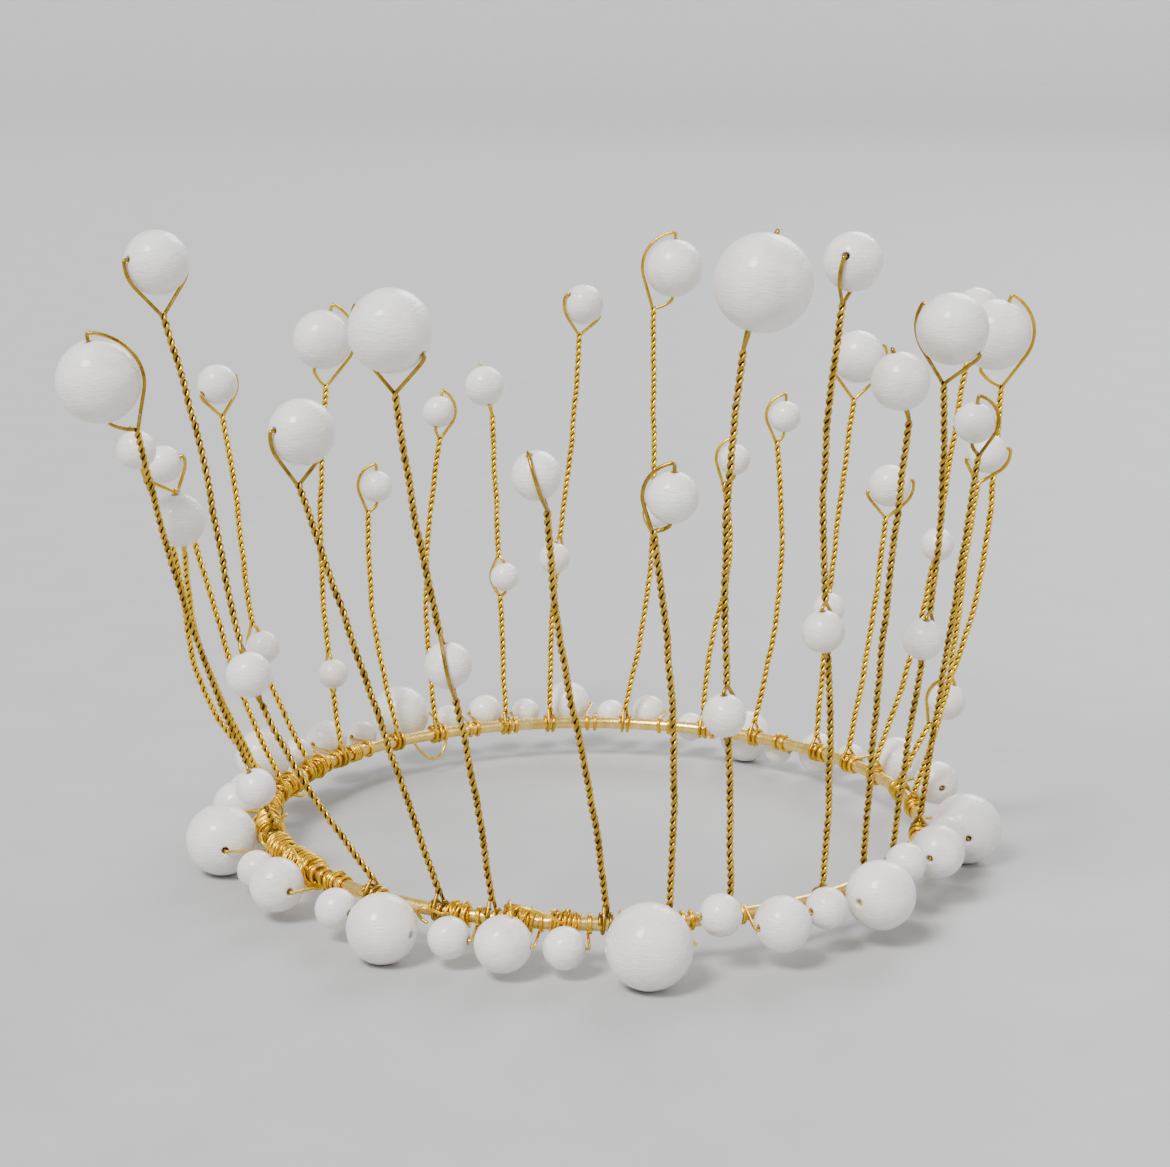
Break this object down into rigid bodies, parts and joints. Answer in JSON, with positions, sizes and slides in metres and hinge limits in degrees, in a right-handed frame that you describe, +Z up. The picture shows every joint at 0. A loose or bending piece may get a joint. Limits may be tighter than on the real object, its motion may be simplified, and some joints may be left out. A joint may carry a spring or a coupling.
{
  "type": "wire and pearl crown",
  "caption": "Open crown of a wire ring edged with pearls, with bendable twisted wire stems of mixed heights that carry pearls at their tips and along their length.",
  "frame": {"origin": "middle of the ring, on the level surface that the crown stands on", "axes": "+Z up through the ring towards the tips of the stems; -Y is the front, which faces the viewer; +X is the viewer's right"},
  "size_m": [0.1438, 0.1327, 0.1026],
  "materials": {
    "ring_wire": "bright gold plating",
    "binding_wire": "bright gold plating",
    "twisted_wire": "antique gold plating, twisted",
    "pearl": "satin pearl coating with a fine crinkled relief"
  },
  "bodies": {
    "ring": {"ring_wire": "ring_wire", "ring_wraps": "binding_wire", "ring_pearls": "pearl", "ring_pearl_ties": "binding_wire"},
    "stem_01": {"stem_01_wire": "twisted_wire"},
    "stem_02": {"stem_02_wire": "twisted_wire", "stem_02_pearls": "pearl"},
    "stem_03": {"stem_03_wire": "twisted_wire", "stem_03_pearls": "pearl"},
    "stem_04": {"stem_04_wire": "twisted_wire"},
    "stem_05": {"stem_05_wire": "twisted_wire", "stem_05_pearls": "pearl"},
    "stem_06": {"stem_06_wire": "twisted_wire"},
    "stem_07": {"stem_07_wire": "twisted_wire"},
    "stem_08": {"stem_08_wire": "twisted_wire", "stem_08_pearls": "pearl"},
    "stem_09": {"stem_09_wire": "twisted_wire", "stem_09_pearls": "pearl"},
    "stem_10": {"stem_10_wire": "twisted_wire", "stem_10_pearls": "pearl"},
    "stem_11": {"stem_11_wire": "twisted_wire"},
    "stem_12": {"stem_12_wire": "twisted_wire"},
    "stem_13": {"stem_13_wire": "twisted_wire", "stem_13_pearls": "pearl"},
    "stem_14": {"stem_14_wire": "twisted_wire", "stem_14_pearls": "pearl"},
    "stem_15": {"stem_15_wire": "twisted_wire"},
    "stem_16": {"stem_16_wire": "twisted_wire"},
    "stem_17": {"stem_17_wire": "twisted_wire"},
    "stem_18": {"stem_18_wire": "twisted_wire", "stem_18_pearls": "pearl"},
    "stem_19": {"stem_19_wire": "twisted_wire", "stem_19_pearls": "pearl"},
    "stem_20": {"stem_20_wire": "twisted_wire"},
    "stem_21": {"stem_21_wire": "twisted_wire", "stem_21_pearls": "pearl"},
    "stem_22": {"stem_22_wire": "twisted_wire"},
    "stem_23": {"stem_23_wire": "twisted_wire"},
    "stem_24": {"stem_24_wire": "twisted_wire", "stem_24_pearls": "pearl"},
    "stem_25": {"stem_25_wire": "twisted_wire", "stem_25_pearls": "pearl"},
    "stem_26": {"stem_26_wire": "twisted_wire"},
    "stem_27": {"stem_27_wire": "twisted_wire", "stem_27_pearls": "pearl"},
    "stem_28": {"stem_28_wire": "twisted_wire"},
    "stem_01_tip": {"stem_01_pearl": "pearl"},
    "stem_04_tip": {"stem_04_pearl": "pearl"},
    "stem_06_tip": {"stem_06_pearl": "pearl"},
    "stem_07_tip": {"stem_07_pearl": "pearl"},
    "stem_11_tip": {"stem_11_pearl": "pearl"},
    "stem_12_tip": {"stem_12_pearl": "pearl"},
    "stem_15_tip": {"stem_15_pearl": "pearl"},
    "stem_16_tip": {"stem_16_pearl": "pearl"},
    "stem_17_tip": {"stem_17_pearl": "pearl"},
    "stem_20_tip": {"stem_20_pearl": "pearl"},
    "stem_22_tip": {"stem_22_pearl": "pearl"},
    "stem_23_tip": {"stem_23_pearl": "pearl"},
    "stem_26_tip": {"stem_26_pearl": "pearl"},
    "stem_28_tip": {"stem_28_pearl": "pearl"}
  },
  "joints": [
    {"name": "stem_01_bend", "type": "hinge", "parent": "ring", "child": "stem_01", "pos_m": [0.05088, 0.00356, 0.0065], "axis": [-0.0698, 0.9976, 0], "range_deg": [-8, 15]},
    {"name": "stem_02_bend", "type": "hinge", "parent": "ring", "child": "stem_02", "pos_m": [0.04969, 0.01147, 0.0065], "axis": [-0.225, 0.9744, 0], "range_deg": [-8, 15]},
    {"name": "stem_03_bend", "type": "hinge", "parent": "ring", "child": "stem_03", "pos_m": [0.04659, 0.02074, 0.0065], "axis": [-0.4067, 0.9135, 0], "range_deg": [-8, 15]},
    {"name": "stem_04_bend", "type": "hinge", "parent": "ring", "child": "stem_04", "pos_m": [0.04277, 0.02778, 0.0065], "axis": [-0.5446, 0.8387, 0], "range_deg": [-8, 15]},
    {"name": "stem_05_bend", "type": "hinge", "parent": "ring", "child": "stem_05", "pos_m": [0.0379, 0.03413, 0.0065], "axis": [-0.6691, 0.7431, 0], "range_deg": [-8, 15]},
    {"name": "stem_06_bend", "type": "hinge", "parent": "ring", "child": "stem_06", "pos_m": [0.02778, 0.04277, 0.0065], "axis": [-0.8387, 0.5446, 0], "range_deg": [-8, 15]},
    {"name": "stem_07_bend", "type": "hinge", "parent": "ring", "child": "stem_07", "pos_m": [0.0191, 0.04729, 0.0065], "axis": [-0.9272, 0.3746, 0], "range_deg": [-8, 15]},
    {"name": "stem_08_bend", "type": "hinge", "parent": "ring", "child": "stem_08", "pos_m": [0.00533, 0.05072, 0.0065], "axis": [-0.9945, 0.1045, 0], "range_deg": [-8, 15]},
    {"name": "stem_09_bend", "type": "hinge", "parent": "ring", "child": "stem_09", "pos_m": [-0.00798, 0.05037, 0.0065], "axis": [-0.9877, -0.1564, 0], "range_deg": [-8, 15]},
    {"name": "stem_10_bend", "type": "hinge", "parent": "ring", "child": "stem_10", "pos_m": [-0.01576, 0.0485, 0.0065], "axis": [-0.9511, -0.309, 0], "range_deg": [-8, 15]},
    {"name": "stem_11_bend", "type": "hinge", "parent": "ring", "child": "stem_11", "pos_m": [-0.02778, 0.04277, 0.0065], "axis": [-0.8387, -0.5446, 0], "range_deg": [-8, 15]},
    {"name": "stem_12_bend", "type": "hinge", "parent": "ring", "child": "stem_12", "pos_m": [-0.03413, 0.0379, 0.0065], "axis": [-0.7431, -0.6691, 0], "range_deg": [-8, 15]},
    {"name": "stem_13_bend", "type": "hinge", "parent": "ring", "child": "stem_13", "pos_m": [-0.04277, 0.02778, 0.0065], "axis": [-0.5446, -0.8387, 0], "range_deg": [-8, 15]},
    {"name": "stem_14_bend", "type": "hinge", "parent": "ring", "child": "stem_14", "pos_m": [-0.04745, 0.01869, 0.0065], "axis": [-0.3665, -0.9304, 0], "range_deg": [-8, 15]},
    {"name": "stem_15_bend", "type": "hinge", "parent": "ring", "child": "stem_15", "pos_m": [-0.05044, 0.00754, 0.0065], "axis": [-0.1478, -0.989, 0], "range_deg": [-8, 15]},
    {"name": "stem_16_bend", "type": "hinge", "parent": "ring", "child": "stem_16", "pos_m": [-0.0509, 0.00311, 0.0065], "axis": [-0.061, -0.9981, 0], "range_deg": [-8, 15]},
    {"name": "stem_17_bend", "type": "hinge", "parent": "ring", "child": "stem_17", "pos_m": [-0.05093, -0.00267, 0.0065], "axis": [0.0523, -0.9986, 0], "range_deg": [-8, 15]},
    {"name": "stem_18_bend", "type": "hinge", "parent": "ring", "child": "stem_18", "pos_m": [-0.0485, -0.01576, 0.0065], "axis": [0.309, -0.9511, 0], "range_deg": [-8, 15]},
    {"name": "stem_19_bend", "type": "hinge", "parent": "ring", "child": "stem_19", "pos_m": [-0.0314, -0.04019, 0.0065], "axis": [0.788, -0.6157, 0], "range_deg": [-8, 15]},
    {"name": "stem_20_bend", "type": "hinge", "parent": "ring", "child": "stem_20", "pos_m": [-0.02155, -0.04622, 0.0065], "axis": [0.9063, -0.4226, 0], "range_deg": [-8, 15]},
    {"name": "stem_21_bend", "type": "hinge", "parent": "ring", "child": "stem_21", "pos_m": [-0.01406, -0.04902, 0.0065], "axis": [0.9613, -0.2756, 0], "range_deg": [-8, 15]},
    {"name": "stem_22_bend", "type": "hinge", "parent": "ring", "child": "stem_22", "pos_m": [0.00178, -0.05097, 0.0065], "axis": [0.9994, 0.0349, 0], "range_deg": [-8, 15]},
    {"name": "stem_23_bend", "type": "hinge", "parent": "ring", "child": "stem_23", "pos_m": [0.0106, -0.04989, 0.0065], "axis": [0.9781, 0.2079, 0], "range_deg": [-8, 15]},
    {"name": "stem_24_bend", "type": "hinge", "parent": "ring", "child": "stem_24", "pos_m": [0.0191, -0.04729, 0.0065], "axis": [0.9272, 0.3746, 0], "range_deg": [-8, 15]},
    {"name": "stem_25_bend", "type": "hinge", "parent": "ring", "child": "stem_25", "pos_m": [0.03278, -0.03907, 0.0065], "axis": [0.766, 0.6428, 0], "range_deg": [-8, 15]},
    {"name": "stem_26_bend", "type": "hinge", "parent": "ring", "child": "stem_26", "pos_m": [0.03907, -0.03278, 0.0065], "axis": [0.6428, 0.766, 0], "range_deg": [-8, 15]},
    {"name": "stem_27_bend", "type": "hinge", "parent": "ring", "child": "stem_27", "pos_m": [0.04417, -0.0255, 0.0065], "axis": [0.5, 0.866, 0], "range_deg": [-8, 15]},
    {"name": "stem_28_bend", "type": "hinge", "parent": "ring", "child": "stem_28", "pos_m": [0.05023, -0.00886, 0.0065], "axis": [0.1736, 0.9848, 0], "range_deg": [-8, 15]},
    {"name": "stem_01_pearl_spin", "type": "hinge", "parent": "stem_01", "child": "stem_01_tip", "pos_m": [0.05927, -0.00187, 0.0645], "axis": [0.9656, -0.0253, 0.2587], "continuous": true},
    {"name": "stem_04_pearl_spin", "type": "hinge", "parent": "stem_04", "child": "stem_04_tip", "pos_m": [0.04835, 0.03021, 0.0535], "axis": [0.9659, 0.0141, 0.2586], "continuous": true},
    {"name": "stem_06_pearl_spin", "type": "hinge", "parent": "stem_06", "child": "stem_06_tip", "pos_m": [0.03238, 0.0517, 0.0615], "axis": [0.0482, 0.1678, 0.9846], "continuous": true},
    {"name": "stem_07_pearl_spin", "type": "hinge", "parent": "stem_07", "child": "stem_07_tip", "pos_m": [0.02396, 0.05395, 0.0535], "axis": [-0.0043, 0.1485, 0.9889], "continuous": true},
    {"name": "stem_11_pearl_spin", "type": "hinge", "parent": "stem_11", "child": "stem_11_tip", "pos_m": [-0.02765, 0.05359, 0.0615], "axis": [0.1591, 0.3221, 0.9332], "continuous": true},
    {"name": "stem_12_pearl_spin", "type": "hinge", "parent": "stem_12", "child": "stem_12_tip", "pos_m": [-0.03792, 0.0466, 0.0495], "axis": [-0.0244, 0.2104, 0.9773], "continuous": true},
    {"name": "stem_15_pearl_spin", "type": "hinge", "parent": "stem_15", "child": "stem_15_tip", "pos_m": [-0.06824, 0.0102, 0.0595], "axis": [0.9065, 0.0223, 0.4215], "continuous": true},
    {"name": "stem_16_pearl_spin", "type": "hinge", "parent": "stem_16", "child": "stem_16_tip", "pos_m": [-0.06948, -0.00577, 0.0645], "axis": [-0.2419, 0.0202, 0.9701], "continuous": true},
    {"name": "stem_17_pearl_spin", "type": "hinge", "parent": "stem_17", "child": "stem_17_tip", "pos_m": [-0.06108, -0.01922, 0.0565], "axis": [-0.086, -0.1596, 0.9834], "continuous": true},
    {"name": "stem_20_pearl_spin", "type": "hinge", "parent": "stem_20", "child": "stem_20_tip", "pos_m": [-0.03937, -0.04895, 0.0745], "axis": [-0.7527, -0.6461, 0.1265], "continuous": true},
    {"name": "stem_22_pearl_spin", "type": "hinge", "parent": "stem_22", "child": "stem_22_tip", "pos_m": [-0.0078, -0.06331, 0.0715], "axis": [-0.2735, -0.3536, 0.8945], "continuous": true},
    {"name": "stem_23_pearl_spin", "type": "hinge", "parent": "stem_23", "child": "stem_23_tip", "pos_m": [0.00989, -0.05617, 0.0675], "axis": [0.05, -0.1069, 0.993], "continuous": true},
    {"name": "stem_26_pearl_spin", "type": "hinge", "parent": "stem_26", "child": "stem_26_tip", "pos_m": [0.0405, -0.04508, 0.0815], "axis": [-0.2588, 0.0119, 0.9659], "continuous": true},
    {"name": "stem_28_pearl_spin", "type": "hinge", "parent": "stem_28", "child": "stem_28_tip", "pos_m": [0.05492, -0.01679, 0.0715], "axis": [0.0712, -0.1258, 0.9895], "continuous": true}
  ]
}
